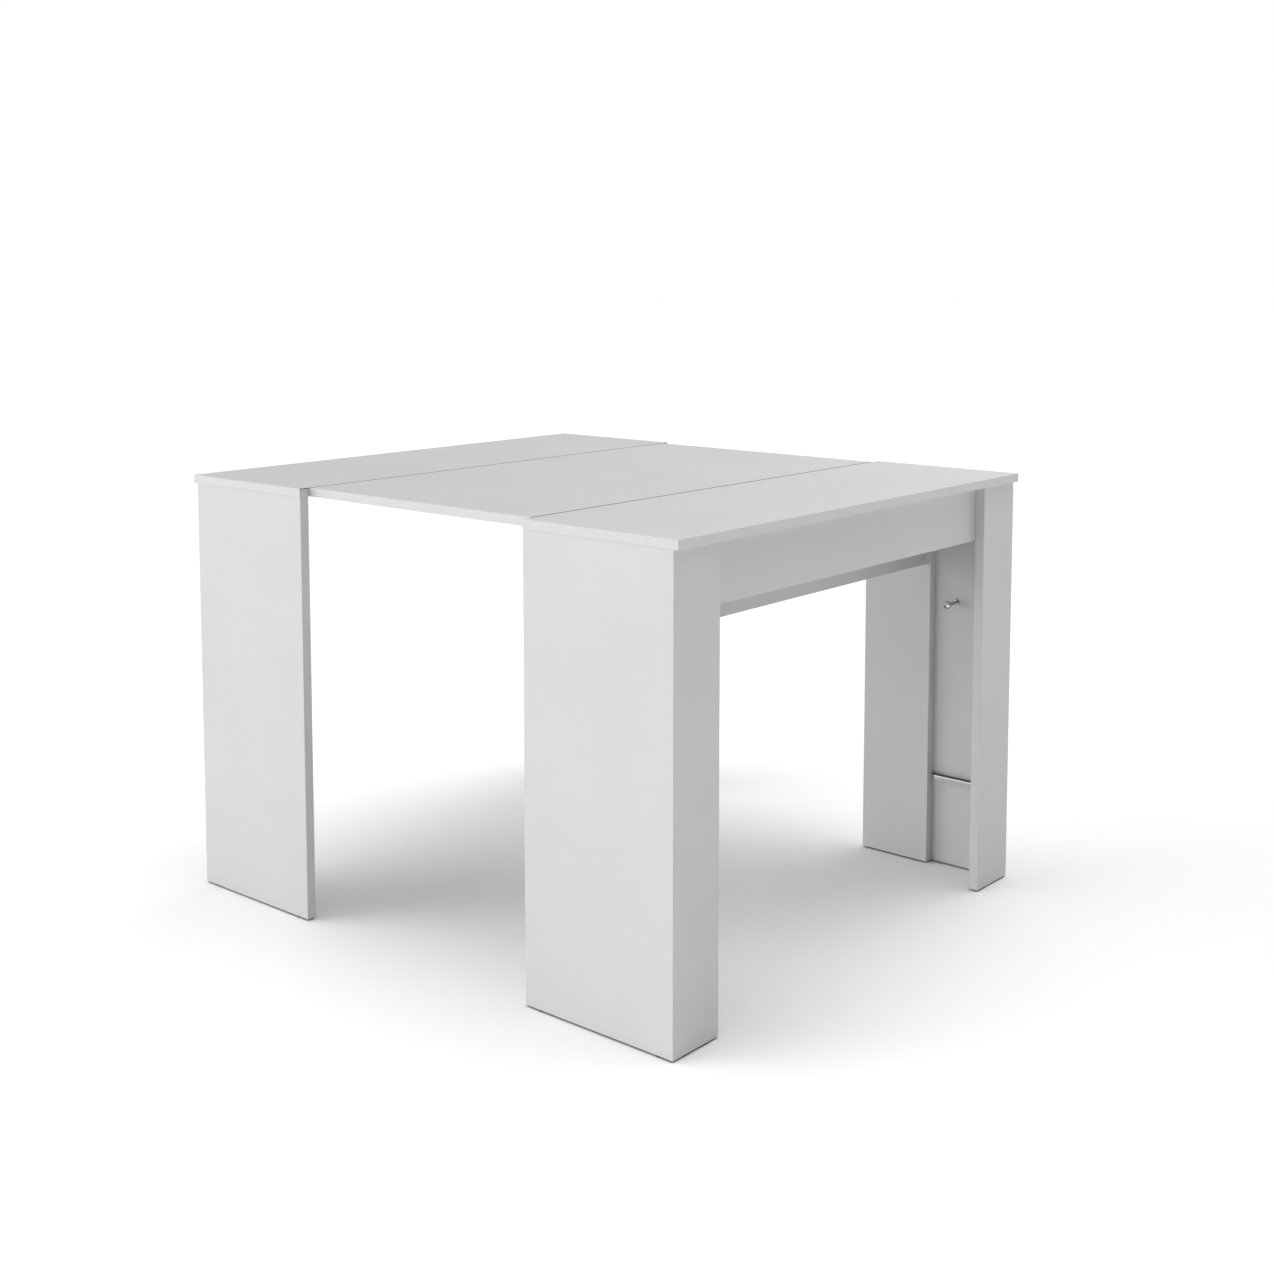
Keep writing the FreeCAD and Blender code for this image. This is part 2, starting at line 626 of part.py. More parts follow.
peg_tip = "(Dims.peg_thread + Dims.peg_length)"
peg_foot_end = "(Dims.peg_thread + Dims.peg_foot_height)"
peg_cone_start = f"({peg_tip} - Dims.peg_head_height)"
peg = doc.addObject("PartDesign::Body", "front_leaf_peg")
peg_turn = peg.newObject("PartDesign::Revolution", "peg_turn")
peg_turn.Profile = outline(
    peg,
    "XY_Plane",
    (
        ("0", "0"),
        ("Dims.peg_thread_radius", "0"),
        ("Dims.peg_thread_radius", "Dims.peg_thread"),
        ("Dims.peg_foot_radius", "Dims.peg_thread"),
        ("Dims.peg_foot_radius", peg_foot_end),
        ("Dims.peg_neck_radius", peg_foot_end),
        ("Dims.peg_neck_radius", peg_cone_start),
        ("Dims.peg_head_radius", f"{peg_cone_start} + Dims.peg_head_height / 2"),
        ("Dims.peg_head_radius", f"{peg_tip} - Dims.peg_rim"),
        ("Dims.peg_head_radius - Dims.peg_rim", peg_tip),
        ("0", peg_tip),
    ),
)
peg_turn.ReferenceAxis = (peg_turn.Profile[0], ["V_Axis"])
peg_at = (f"{SEAM} + Dims.peg_from_seam", LEG_INSIDE, "Dims.peg_height")
put(peg, moved(peg_at, OUTWARD, "Dims.peg_thread"))
named(peg, "front_leaf_peg")
bore(outer_panel, peg_at, OUTWARD, "Dims.peg_thread_radius + Dims.bore_clearance", "Dims.peg_thread")

# ---- Dowels, cam fittings, brackets and glides ---------------------------------------------------

leg_middle = f"{LEG_FACE} + Dims.leg_board / 2"
inner_middle = f"{LEG_INSIDE} + Dims.leg_board / 2"
return_middle = f"{OUTER} - Dims.leg_board / 2"
return_edge = f"{LEG_FACE} + Dims.return_width"

# Upright dowels: where board and top meet, and the upright board.
storage_uprights = (
    ((f"{SEAM} + Dims.dowel_inset", leg_middle, UNDER), outer_panel),
    ((f"{SEAM} + {OUTER_WIDTH} - Dims.dowel_inset", leg_middle, UNDER), outer_panel),
    ((f"{SEAM} + Dims.narrow_dowel_inset", inner_middle, UNDER), inner_panel),
    (
        (f"{SEAM} + Dims.inner_panel_width - Dims.narrow_dowel_inset", inner_middle, UNDER),
        inner_panel,
    ),
    ((return_middle, f"{return_edge} - Dims.narrow_dowel_inset", UNDER), leg_return),
)
storage_dowels = [dowel(place, UP, storage_top, upright) for place, upright in storage_uprights]
sliding_dowels = [
    dowel((f"-{OUTER} + {from_edge}", leg_middle, UNDER), UP, sliding_top, sliding_panel)
    for from_edge in ("Dims.dowel_inset", f"{OUTER_WIDTH} - Dims.dowel_inset")
]

apron_middle = f"{APRON_BACK} + Dims.leg_board / 2"
stretcher_middle = f"{STRETCHER_FACE} - Dims.leg_board / 2"
rail_middle = f"{RAIL_FACE} - Dims.leg_board / 2"


def crosswise_dowels(x, y, upper, height, upright, crosswise):
    """Two dowels near the upper and the lower edge of a crosswise board's end."""
    inset = "Dims.crosswise_dowel_inset"
    return [
        dowel((x, y, f"{upper} - {drop}"), OUTWARD, upright, crosswise)
        for drop in (inset, f"({height} - {inset})")
    ]


storage_dowels += crosswise_dowels(
    apron_middle, LEG_INSIDE, UNDER, "Dims.apron_height", outer_panel, apron
)
storage_dowels += crosswise_dowels(
    stretcher_middle, INNER_INSIDE, STRETCHER_TOP, "Dims.stretcher_height", inner_panel, stretcher
)
sliding_dowels.append(
    dowel(
        (rail_middle, LEG_INSIDE, f"{UNDER} - Dims.cross_rail_height / 2"),
        OUTWARD,
        sliding_panel,
        cross_rail,
    )
)
group("storage_end_dowels", both_sides(storage_dowels))
group("sliding_end_dowels", both_sides(sliding_dowels))

apron_bolt, apron_cam = cam_fitting(
    (apron_middle, LEG_INSIDE, f"{UNDER} - Dims.apron_height / 2"), RIGHT, outer_panel, apron
)
stretcher_bolt, stretcher_cam = cam_fitting(
    (stretcher_middle, INNER_INSIDE, f"{STRETCHER_TOP} - Dims.stretcher_height / 2"),
    RIGHT,
    inner_panel,
    stretcher,
)
group("cam_bolts", both_sides([apron_bolt, stretcher_bolt]))
group("cam_discs", both_sides([apron_cam, stretcher_cam]))

# Corner, turn about Z, direction into the upright board, top, upright board.
storage_brackets = (
    ((f"{SEAM} + Dims.inner_panel_width / 2", INNER_INSIDE, UNDER), 0, OUTWARD, storage_top, inner_panel),
    (
        (f"{SEAM} + {OUTER_WIDTH} - Dims.bracket_inset", LEG_INSIDE, UNDER),
        0,
        OUTWARD,
        storage_top,
        outer_panel,
    ),
    ((APRON_BACK, "-Dims.bracket_from_middle", UNDER), 90, RIGHT, storage_top, apron),
)
sliding_brackets = (
    ((f"-{OUTER} + Dims.bracket_inset", LEG_INSIDE, UNDER), 0, OUTWARD, sliding_top, sliding_panel),
    (
        (f"-{SEAM} - Dims.bracket_inset", LEG_INSIDE, UNDER),
        0,
        OUTWARD,
        sliding_top,
        sliding_panel,
    ),
    ((RAIL_FACE, "-Dims.bracket_from_middle", UNDER), -90, LEFT, sliding_top, cross_rail),
)
for end_name, brackets in (("storage_end", storage_brackets), ("sliding_end", sliding_brackets)):
    screws = []
    for corner, _, into_board, top, panel in brackets:
        screws += bracket_screws(corner, into_board, top, panel)
    group(f"{end_name}_brackets", both_sides([bracket(corner, turn) for corner, turn, *_ in brackets]))
    group(f"{end_name}_bracket_screws", both_sides(screws))
group("locating_block_screws", both_sides(right_screws + left_screws))

storage_glides = [
    glide(f"{SEAM} + Dims.glide_inset", leg_middle, outer_panel),
    glide(f"{SEAM} + {OUTER_WIDTH} - Dims.glide_inset", leg_middle, outer_panel),
    glide(f"{SEAM} + Dims.inner_panel_width - Dims.glide_inset", inner_middle, inner_panel),
    glide(return_middle, f"{return_edge} - Dims.glide_inset", leg_return),
]
group("storage_end_glides", both_sides(storage_glides))
sliding_glides = [
    glide(f"-{OUTER} + {from_edge}", leg_middle, sliding_panel)
    for from_edge in ("Dims.glide_inset", f"{OUTER_WIDTH} - Dims.glide_inset")
]
group("sliding_end_glides", both_sides(sliding_glides))

# ---- The back half of what stands in pairs -------------------------------------------------------

for front in (
    outer_panel,
    leg_return,
    inner_panel,
    sliding_panel,
    fixed_beam,
    first_beam,
    second_beam,
    end_beam,
    rest_rail,
    peg,
):
    mirrored(front, front.Label.replace("front_", "rear_"))

doc.recompute()

# ---- Checks and files ----------------------------------------------------------------------------

for obj in doc.Objects:
    if "Invalid" in obj.State or "Error" in obj.State:
        raise RuntimeError(f"{obj.Name} did not compute: {obj.State}")
for node in nodes:
    if node.Shape.isNull() or not node.Shape.isValid() or not node.Shape.Solids:
        raise RuntimeError(f"{node.Label} has no valid solid")

os.makedirs("parts", exist_ok=True)
for node in nodes:
    node.Shape.exportStep(f"parts/{node.Label}.step")
print(len(nodes), "sub-parts written")
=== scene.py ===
"""The finished look of an extending console table in white melamine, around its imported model.

Metres, in the model's frame: +X towards the fixed storage end, +Y from front to back, +Z up.
"""

import json
import math

import bmesh
import bpy
from mathutils import Matrix, Vector

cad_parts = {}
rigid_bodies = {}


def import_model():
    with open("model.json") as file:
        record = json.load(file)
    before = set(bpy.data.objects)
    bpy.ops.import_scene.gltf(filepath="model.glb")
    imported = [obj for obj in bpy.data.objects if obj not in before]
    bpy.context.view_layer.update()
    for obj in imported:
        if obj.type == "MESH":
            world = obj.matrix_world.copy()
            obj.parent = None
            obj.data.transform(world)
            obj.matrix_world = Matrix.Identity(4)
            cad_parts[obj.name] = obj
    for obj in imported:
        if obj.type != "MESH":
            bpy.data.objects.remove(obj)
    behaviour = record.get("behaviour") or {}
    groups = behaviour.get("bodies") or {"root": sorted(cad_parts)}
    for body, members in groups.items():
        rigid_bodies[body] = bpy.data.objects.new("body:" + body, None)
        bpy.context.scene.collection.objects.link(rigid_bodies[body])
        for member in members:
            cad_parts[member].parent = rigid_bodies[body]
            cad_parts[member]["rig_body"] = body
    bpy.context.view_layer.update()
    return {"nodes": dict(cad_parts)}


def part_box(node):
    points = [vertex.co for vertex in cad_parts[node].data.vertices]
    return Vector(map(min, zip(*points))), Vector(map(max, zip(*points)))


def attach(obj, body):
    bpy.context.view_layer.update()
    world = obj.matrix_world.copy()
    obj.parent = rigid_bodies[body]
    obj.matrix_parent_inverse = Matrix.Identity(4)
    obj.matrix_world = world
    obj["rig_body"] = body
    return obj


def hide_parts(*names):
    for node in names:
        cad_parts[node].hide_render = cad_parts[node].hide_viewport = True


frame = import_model()

# ---- End tops ------------------------------------------------------------------------------------
# Two 15 mm particle boards, faced with satin white melamine and banded with white ABS all round. The
# edge that meets the leaf has a steep bevel, coloured near black: painted shade for the shadow in the
# joint. They lie on the leg boards; dowels place them and angle brackets hold them down.

BAND = 0.001  # thickness of the glued edge band
ARRIS = 0.0003  # radius that the trimmer leaves on the band
JOINT_BEVEL = 0.0014  # depth of the bevel along the edges that meet another board, coloured as painted shade
MELAMINE_TONE = 0.62
# The white band is a trace lighter than the melamine: painted highlight along the arrises of the boards.
BAND_TONE_WITH_HIGHLIGHT = 0.64
JOINT_SHADE_TONE = 0.06
NOISE_LOW, NOISE_HIGH = 0.3, 0.7  # nearly all of the noise lies between these
SAME_POINT = 1e-7


def material_of(name, tone, roughness, metallic=0.0):
    """A material with one shader, its colour and gloss set on the shader's own sockets."""
    material = bpy.data.materials.new(name)
    material.use_nodes = True
    shader = material.node_tree.nodes["Principled BSDF"]
    shader.inputs["Base Color"].default_value = (*tone, 1)
    shader.inputs["Roughness"].default_value = roughness
    shader.inputs["Metallic"].default_value = metallic
    return material


def speckle(material, scale, stretch=(1, 1, 1), detail=2.0):
    """Noise that is fixed to the piece, with scale in waves per metre."""
    nodes, links = material.node_tree.nodes, material.node_tree.links
    place = nodes.new("ShaderNodeTexCoord")
    mapping = nodes.new("ShaderNodeMapping")
    mapping.inputs["Scale"].default_value = stretch
    noise = nodes.new("ShaderNodeTexNoise")
    noise.inputs["Scale"].default_value = scale
    noise.inputs["Detail"].default_value = detail
    links.new(place.outputs["Object"], mapping.inputs["Vector"])
    links.new(mapping.outputs["Vector"], noise.inputs["Vector"])
    return noise.outputs["Fac"]


def vary(material, factor, socket, low, high):
    """Moves a number of the shader between two values as the noise goes from low to high."""
    nodes, links = material.node_tree.nodes, material.node_tree.links
    spread = nodes.new("ShaderNodeMapRange")
    spread.inputs["From Min"].default_value = NOISE_LOW
    spread.inputs["From Max"].default_value = NOISE_HIGH
    spread.inputs["To Min"].default_value = low
    spread.inputs["To Max"].default_value = high
    links.new(factor, spread.inputs["Value"])
    links.new(spread.outputs["Result"], nodes["Principled BSDF"].inputs[socket])


def tint(material, factor, first, second):
    """Mixes the base colour from two tones."""
    nodes, links = material.node_tree.nodes, material.node_tree.links
    ramp = nodes.new("ShaderNodeValToRGB")
    ramp.color_ramp.elements[0].position = NOISE_LOW
    ramp.color_ramp.elements[0].color = (*first, 1)
    ramp.color_ramp.elements[1].position = NOISE_HIGH
    ramp.color_ramp.elements[1].color = (*second, 1)
    links.new(factor, ramp.inputs["Fac"])
    links.new(ramp.outputs["Color"], nodes["Principled BSDF"].inputs["Base Color"])


def emboss(material, factor, depth):
    """A fine relief of that depth in metres."""
    nodes, links = material.node_tree.nodes, material.node_tree.links
    bump = nodes.new("ShaderNodeBump")
    bump.inputs["Strength"].default_value = 1.0
    bump.inputs["Distance"].default_value = depth
    links.new(factor, bump.inputs["Height"])
    links.new(bump.outputs["Normal"], nodes["Principled BSDF"].inputs["Normal"])


def white(tone):
    """A white that is a trace cooler than neutral."""
    return (tone, tone, tone * 1.004)


melamine = material_of("white_melamine", white(MELAMINE_TONE), 0.42)
tint(melamine, speckle(melamine, 6), white(MELAMINE_TONE * 0.985), white(MELAMINE_TONE * 1.015))
vary(melamine, speckle(melamine, 60), "Roughness", 0.38, 0.46)
emboss(melamine, speckle(melamine, 1400, detail=1.0), 0.00001)

# Its tone is partly the band's own white and partly painted highlight along the arrises.
edge_band = material_of("white_edge_band", white(BAND_TONE_WITH_HIGHLIGHT), 0.34)
tint(edge_band, speckle(edge_band, 25), white(BAND_TONE_WITH_HIGHLIGHT * 0.985), white(BAND_TONE_WITH_HIGHLIGHT * 1.015))
vary(edge_band, speckle(edge_band, 90), "Roughness", 0.3, 0.38)
emboss(edge_band, speckle(edge_band, 500, detail=1.0), 0.000006)

SHARP_ANGLE = 40  # edges sharper than this many degrees stay crisp


def built(bm, node, *materials):
    """Makes a finished mesh the visible piece that stands for a node."""
    mesh = bpy.data.meshes.new(f"{node}_built")
    bm.to_mesh(mesh)
    bm.free()
    for material in materials:
        mesh.materials.append(material)
    mesh.shade_smooth()
    mesh.set_sharp_from_angle(angle=math.radians(SHARP_ANGLE))
    piece = bpy.data.objects.new(mesh.name, mesh)
    bpy.context.scene.collection.objects.link(piece)
    even = piece.modifiers.new("even_faces", "WEIGHTED_NORMAL")
    even.keep_sharp = True
    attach(piece, frame["nodes"][node]["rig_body"])
    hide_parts(node)
    return piece


def rounded(bm, geom, radius, affect, segments):
    """Rounds edges (EDGES) or the corners of a sheet (VERTICES)."""
    bmesh.ops.bevel(
        bm,
        geom=geom,
        offset=radius,
        offset_type="OFFSET",
        affect=affect,
        segments=segments,
        profile=0.5,
        material=-1,
    )


def eased_box(bm, low, high, radius):
    """Adds a box with rounded edges to a mesh."""
    verts = bmesh.ops.create_cube(bm, size=1)["verts"]
    bmesh.ops.scale(bm, vec=high - low, verts=verts)
    bmesh.ops.translate(bm, vec=(low + high) / 2, verts=verts)
    edges = {edge for vert in verts for edge in vert.link_edges}
    rounded(bm, list(edges), radius, "EDGES", 3)


def banded_board(node, arris=ARRIS):
    """A board in a node's box. Its four narrow sides, and a strip of its faces as wide as the band is
    thick, are band; the rest is melamine."""
    low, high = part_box(node)
    bm = bmesh.new()
    eased_box(bm, low, high, arris)
    extent = high - low
    thin = min(range(3), key=lambda axis: extent[axis])
    banded = [axis for axis in range(3) if axis != thin]
    for axis in banded:
        for at in (low[axis] + BAND, high[axis] - BAND):
            across = Vector([float(axis == i) for i in range(3)])
            bmesh.ops.bisect_plane(
                bm,
                geom=bm.verts[:] + bm.edges[:] + bm.faces[:],
                dist=SAME_POINT,
                plane_co=across * at,
                plane_no=across,
            )
    for face in bm.faces:
        middle = face.calc_center_median()
        edge = [min(middle[axis] - low[axis], high[axis] - middle[axis]) < BAND for axis in banded]
        face.material_index = int(any(edge))
    return bm


def cut_off(bm, point, outward, material_index=0):
    """Cuts a mesh along a plane, drops what lies outward of it and closes the cut."""
    cut = bmesh.ops.bisect_plane(
        bm,
        geom=bm.verts[:] + bm.edges[:] + bm.faces[:],
        dist=SAME_POINT,
        plane_co=point,
        plane_no=outward,
        clear_outer=True,
    )
    rim = [item for item in cut["geom_cut"] if isinstance(item, bmesh.types.BMEdge)]
    bmesh.ops.edgeloop_fill(bm, edges=rim, mat_nr=material_index)


def joined_board(node, ends):
    """A banded board with a steep bevel on its upper edge at the given ends, -1 or 1 along X."""
    bm = banded_board(node)
    low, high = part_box(node)
    for end in ends:
        edge = Vector((high.x if end > 0 else low.x, 0, high.z - JOINT_BEVEL))
        # The bevel takes the third material, the near black painted shade of the joint.
        cut_off(bm, edge, Vector((2 * end, 0, 1)).normalized(), material_index=2)
    return bm


# Near black, painted shade: it stands in for the shadow deep in the joint between two boards.
painted_joint_shade = material_of("painted_joint_shade", white(JOINT_SHADE_TONE), 0.5)
tint(painted_joint_shade, speckle(painted_joint_shade, 60), white(JOINT_SHADE_TONE * 0.9), white(JOINT_SHADE_TONE * 1.1))
vary(painted_joint_shade, speckle(painted_joint_shade, 200), "Roughness", 0.42, 0.58)

for top, ends in (("storage_end_top", [-1]), ("sliding_end_top", [1])):
    built(joined_board(top, ends), top, melamine, edge_band, painted_joint_shade)

# ---- Corner legs of the storage end --------------------------------------------------------------
# Each is an 18 mm outer panel and a short return, cut at 45 degrees and folded round one foil, so that
# no joint shows at the corner. The lower ends of all legs and their lower rounded edges are coloured
# near black: painted shade for the thin gap above the floor.

LEG_ARRIS = 0.0008
FOIL_REACH = 0.004  # how far the foil comes round the folded corner
DOWNWARD = -0.3  # faces whose normals have less than this along Z carry the painted shade

# Near black, painted shade: it stands in for the shadow in the thin gap between the legs and the floor.
end_shade = material_of("painted_end_shade", (0.03, 0.029, 0.028), 0.6)
end_shade_speckle = speckle(end_shade, 700, detail=4.0)
tint(end_shade, end_shade_speckle, (0.022, 0.021, 0.02), (0.038, 0.036, 0.034))
emboss(end_shade, end_shade_speckle, 0.0002)


def leg_board(node):
    """A banded board whose lower end and its rounded edges carry the painted shade of the gap above the
    floor.
    """
    bm = banded_board(node, LEG_ARRIS)
    for face in bm.faces:
        if face.normal.z < DOWNWARD:
            face.material_index = 2
    return bm


for side, sign in (("front", -1), ("rear", 1)):
    panel_low, panel_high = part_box(f"{side}_outer_leg_panel")
    corner = Vector((panel_high.x, panel_low.y if sign < 0 else panel_high.y, 0))
    past_mitre = Vector((1, -sign, 0)).normalized()
    for board, outward in (("outer_leg_panel", past_mitre), ("leg_return", -past_mitre)):
        bm = leg_board(f"{side}_{board}")
        cut_off(bm, corner, outward)
        # Foil, not band, covers the folded corner.
        for face in bm.faces:
            middle = face.calc_center_median()
            if (middle - corner).to_2d().length < FOIL_REACH:
                face.material_index = 0
        built(bm, f"{side}_{board}", melamine, edge_band, end_shade)

# ---- Inner leg panels, apron and stretcher -------------------------------------------------------
# The inner panels stand against the outer ones. The apron joins the corner legs behind their returns,
# and the stretcher joins the inner panels: spare leaves stand in the slot between the two.

for board in ("front_inner_leg_panel", "rear_inner_leg_panel"):
    built(leg_board(board), board, melamine, edge_band, end_shade)
for board in ("end_apron", "middle_stretcher"):
    built(banded_board(board), board, melamine, edge_band)

# ---- Flat legs of the sliding end ----------------------------------------------------------------
# Two plain 18 mm panels, tied by a shallow rail close under the top.

for board in ("front_sliding_leg_panel", "rear_sliding_leg_panel"):
    built(leg_board(board), board, melamine, edge_band, end_shade)
built(banded_board("sliding_end_cross_rail"), "sliding_end_cross_rail", melamine, edge_band)

# ---- Leaf ----------------------------------------------------------------------------------------
# A loose 15 mm board that lies on the runners between the two tops. Four moulded blocks, each on two
# screws from below, stop it from shifting sideways on the runners.

BLOCK_ROUNDING = 0.0012

built(joined_board("extension_leaf", [-1, 1]), "extension_leaf", melamine, edge_band, painted_joint_shade)


def solids(node):
    """The boxes of the separate solids that share a node."""
    bm = bmesh.new()
    bm.from_mesh(frame["nodes"][node].data)
    bmesh.ops.remove_doubles(bm, verts=bm.verts, dist=1e-6)
    boxes = []
    waiting = set(bm.verts)
    while waiting:
        joined = [waiting.pop()]
        for vert in joined:
            for edge in vert.link_edges:
                neighbour = edge.other_vert(vert)
                if neighbour in waiting:
                    waiting.remove(neighbour)
                    joined.append(neighbour)
        low = Vector([min(vert.co[axis] for vert in joined) for axis in range(3)])
        high = Vector([max(vert.co[axis] for vert in joined) for axis in range(3)])
        boxes.append((low, high))
    bm.free()
    return sorted(boxes, key=lambda box: [round(value, 5) for value in box[0]])


grey_plastic = material_of("grey_plastic", (0.32, 0.32, 0.33), 0.5)
tint(grey_plastic, speckle(grey_plastic, 40), (0.31, 0.31, 0.32), (0.33, 0.33, 0.34))
vary(grey_plastic, speckle(grey_plastic, 300), "Roughness", 0.44, 0.56)
emboss(grey_plastic, speckle(grey_plastic, 1800), 0.00002)

bm = bmesh.new()
for low, high in solids("leaf_locating_blocks"):
    eased_box(bm, low, high, BLOCK_ROUNDING)
built(bm, "leaf_locating_blocks", grey_plastic)

# ---- Telescopic runners --------------------------------------------------------------------------
# Anodised aluminium extrusions, side by side, whose T tongues slide in the T grooves of their
# neighbours. Plastic caps close their left ends and stop the next beam.

aluminium = material_of("anodised_aluminium", (0.62, 0.62, 0.63), 0.35, 1.0)
drawn = speckle(aluminium, 300, stretch=(0.02, 1, 1), detail=3.0)
tint(aluminium, speckle(aluminium, 8), (0.6, 0.6, 0.61), (0.64, 0.64, 0.65))
vary(aluminium, drawn, "Roughness", 0.28, 0.42)
emboss(aluminium, drawn, 0.000004)

for side in ("front", "rear"):
    for stage in ("fixed_runner", "first_sliding", "second_sliding", "end_runner"):
        beam = frame["nodes"][f"{side}_{stage}_beam"]
        beam.data.materials.clear()
        beam.data.materials.append(aluminium)

CAP_PLATE = 0.002
CAP_ROUNDING = 0.0005
LUG_INSET = 0.0131  # outer side of a runner to the lug in its groove
LUG_WIDTH = 0.0038
LUG_HEIGHT = 0.0118

for stage in ("fixed", "first_sliding", "second_sliding"):
    bm = bmesh.new()
    for low, high in solids(f"{stage}_beam_caps"):
        plate_end = Vector((low.x + CAP_PLATE, high.y, high.z))
        eased_box(bm, low, plate_end, CAP_ROUNDING)
        middle = (low.z + high.z) / 2
        start = low.y + LUG_INSET if low.y < 0 else high.y - LUG_INSET - LUG_WIDTH
        lug_low = Vector((plate_end.x - CAP_ROUNDING, start, middle - LUG_HEIGHT / 2))
        lug_high = Vector((high.x, start + LUG_WIDTH, middle + LUG_HEIGHT / 2))
        eased_box(bm, lug_low, lug_high, CAP_ROUNDING)
    built(bm, f"{stage}_beam_caps", grey_plastic)

# ---- Screws --------------------------------------------------------------------------------------
# Zinc plated chipboard screws with pan heads and a cross recess. Every head faces the room under the
# table: those along Z are driven upwards, the others outwards.

HEAD_RADIUS = 0.0035
HEAD_HEIGHT = 0.002
THREAD_RADIUS = 0.00175
CORE_RADIUS = 0.0012
THREAD_PITCH = 0.0014
RECESS_RADIUS = 0.0019
RECESS_DEPTH = 0.0012
RECESS_MIDDLE = 0.0008  # radius of the round middle of the recess
RECESS_ARM = 0.1  # half the angle of an arm, in radians
SCREW_SIDES = 16

zinc = material_of("zinc_plated_steel", (0.55, 0.55, 0.56), 0.3, 1.0)
tint(zinc, speckle(zinc, 250, detail=4.0), (0.5, 0.5, 0.51), (0.6, 0.6, 0.61))
vary(zinc, speckle(zinc, 700), "Roughness", 0.24, 0.4)
emboss(zinc, speckle(zinc, 1200), 0.000005)


def turned(outline, steps):
    """A closed part turned round the Z axis from an outline of (radius, height) points."""
    part = bmesh.new()
    verts = [part.verts.new((radius, 0, height)) for radius, height in outline]
    edges = [part.edges.new(pair) for pair in zip(verts, verts[1:])]
    bmesh.ops.spin(
        part,
        geom=verts + edges,
        cent=(0, 0, 0),
        axis=(0, 0, 1),
        angle=math.tau,
        steps=steps,
        use_merge=True,
    )
    bmesh.ops.remove_doubles(part, verts=part.verts, dist=1e-6)
    bmesh.ops.recalc_face_normals(part, faces=part.faces)
    return part


def add(bm, part):
    """Moves a part's mesh into the mesh of the whole group."""
    carrier = bpy.data.meshes.new("carrier")
    part.to_mesh(carrier)
    part.free()
    bm.from_mesh(carrier)
    bpy.data.meshes.remove(carrier)


def stand(bm, part, foot, axis):
    """Adds an upright part to a mesh, its foot at a point and its Z axis along an axis."""
    turn = Vector(axis).to_track_quat("Z", "Y").to_matrix().to_4x4()
    part.transform(Matrix.Translation(foot) @ turn)
    add(bm, part)


def driven(low, high):
    """Where a screw or dowel starts, which way it is driven and how long it is."""
    extent = high - low
    along = max(range(3), key=lambda axis: extent[axis])
    middle = (low + high) / 2
    sign = 1 if along == 2 or middle[along] > 0 else -1
    foot = middle.copy()
    foot[along] = low[along] if sign > 0 else high[along]
    axis = Vector([sign * float(along == i) for i in range(3)])
    return foot, axis, extent[along]


def cross_head_screw(length):
    """A screw with its head at the origin and its point up."""
    outline = [(0, 0.0002), (RECESS_MIDDLE, 0.0002), (RECESS_RADIUS, 0.0003), (0.0029, 0.0007)]
    outline += [(HEAD_RADIUS, 0.0013), (HEAD_RADIUS, HEAD_HEIGHT), (THREAD_RADIUS, HEAD_HEIGHT)]
    height = HEAD_HEIGHT + THREAD_PITCH / 2
    while height < length - 2 * THREAD_PITCH:
        outline.append((CORE_RADIUS, height))
        outline.append((THREAD_RADIUS, height + THREAD_PITCH / 2))
        height += THREAD_PITCH
    outline += [(CORE_RADIUS, height), (0, length)]
    part = turned(outline, SCREW_SIDES)
    quarter = math.pi / 2
    recess = []
    for face in part.faces:
        middle = face.calc_center_median()
        reach = middle.to_2d().length
        turn = math.atan2(middle.y, middle.x) - math.pi / SCREW_SIDES
        arm = abs(turn - round(turn / quarter) * quarter) < RECESS_ARM
        if middle.z < HEAD_HEIGHT / 2 and (reach < RECESS_MIDDLE or (arm and reach < RECESS_RADIUS)):
            recess.append(face)
    sunk = bmesh.ops.extrude_face_region(part, geom=recess)["geom"]
    verts = [item for item in sunk if isinstance(item, bmesh.types.BMVert)]
    bmesh.ops.translate(part, vec=(0, 0, RECESS_DEPTH), verts=verts)
    bmesh.ops.delete(part, geom=recess, context="FACES_KEEP_BOUNDARY")
    return part


for node in (
    "storage_end_bracket_screws",
    "sliding_end_bracket_screws",
    "fixed_beam_screws",
    "end_beam_screws",
    "rest_rail_screws",
    "locating_block_screws",
):
    bm = bmesh.new()
    for low, high in solids(node):
        foot, axis, length = driven(low, high)
        stand(bm, cross_head_screw(length), foot, axis)
    built(bm, node, zinc)

# ---- Angle brackets ------------------------------------------------------------------------------
# Bent from 2 mm zinc plated strip, with rounded corners and a screw through each leg. They hold the
# tops down on the legs, the apron and the cross rail.

BRACKET_SHEET = 0.002
BRACKET_BEND = 0.003
BRACKET_CORNER = 0.003


def swept_strip(points, shift):
    """A strip of sheet, still without thickness, that runs through points and is as wide as a shift."""
    strip = bmesh.new()
    corners = [strip.verts.new(point) for point in points]
    folds = [strip.edges.new(pair) for pair in zip(corners, corners[1:])]
    swept = bmesh.ops.extrude_edge_only(strip, edges=folds)["geom"]
    far = [item for item in swept if isinstance(item, bmesh.types.BMVert)]
    bmesh.ops.translate(strip, vec=shift, verts=far)
    return strip


def folds_of(strip):
    """The edges along which a strip is bent."""
    return [edge for edge in strip.edges if len(edge.link_faces) == 2]


def thickened(strip, thickness):
    """Gives a strip its thickness on the side that its upper faces turn away from."""
    bmesh.ops.recalc_face_normals(strip, faces=strip.faces)
    if sum(face.normal.z * face.calc_area() for face in strip.faces) < 0:
        bmesh.ops.reverse_faces(strip, faces=strip.faces)
    bmesh.ops.solidify(strip, geom=strip.faces, thickness=thickness)


